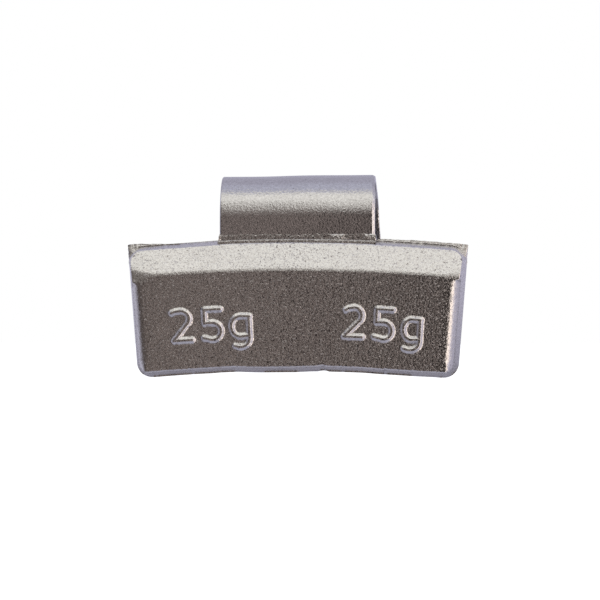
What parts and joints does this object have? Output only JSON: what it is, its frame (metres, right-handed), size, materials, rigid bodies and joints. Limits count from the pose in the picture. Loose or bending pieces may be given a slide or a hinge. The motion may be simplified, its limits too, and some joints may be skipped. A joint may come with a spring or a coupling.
{
  "type": "wheel balance weight",
  "caption": "Clip-on wheel balance weight: a curved zinc casting with a chamfered front, held on the rim's lip by a broad spring steel hook.",
  "frame": {"origin": "axis of the hook's curl at mid-width, where the rim's lip sits", "axes": "+X along the rim and the curl's axis, -Y to the front of the wheel, +Z away from the wheel's centre"},
  "size_m": [0.0438, 0.0148, 0.0258],
  "materials": {
    "zinc_casting": "satin",
    "spring_steel": "satin"
  },
  "bodies": {
    "root": {"weight_body": "zinc_casting", "spring_clip": "spring_steel"}
  },
  "joints": []
}
